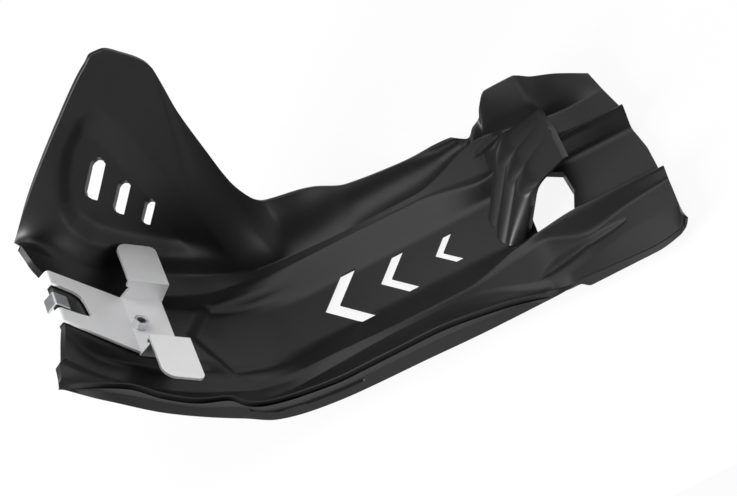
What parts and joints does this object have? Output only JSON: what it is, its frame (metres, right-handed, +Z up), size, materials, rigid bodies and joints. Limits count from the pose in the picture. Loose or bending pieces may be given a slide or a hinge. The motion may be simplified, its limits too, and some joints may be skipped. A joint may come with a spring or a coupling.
{
  "type": "motorcycle skid plate",
  "caption": "Black moulded skid plate for an off-road motorcycle, with a tall side wing, arrow-shaped drain holes, a ribbed hood over a drain window, and a folded metal clamp bracket at the nose.",
  "frame": {"origin": "centre of the bounding box in plan, on the plane of the channel floor's underside", "axes": "+X towards the rear of the motorcycle, +Z up, +Y towards the side with the tall wing"},
  "size_m": [0.418, 0.1854, 0.2253],
  "materials": {
    "plate": "satin moulded black",
    "bracket": "bright satin zinc",
    "zinc": "zinc plated"
  },
  "bodies": {
    "root": {"skid_plate": "plate", "mount_bracket": "bracket", "bracket_nut": "zinc", "bolt_washer": "zinc", "clamp_bolt": "zinc", "front_clip": "bracket"}
  },
  "joints": []
}
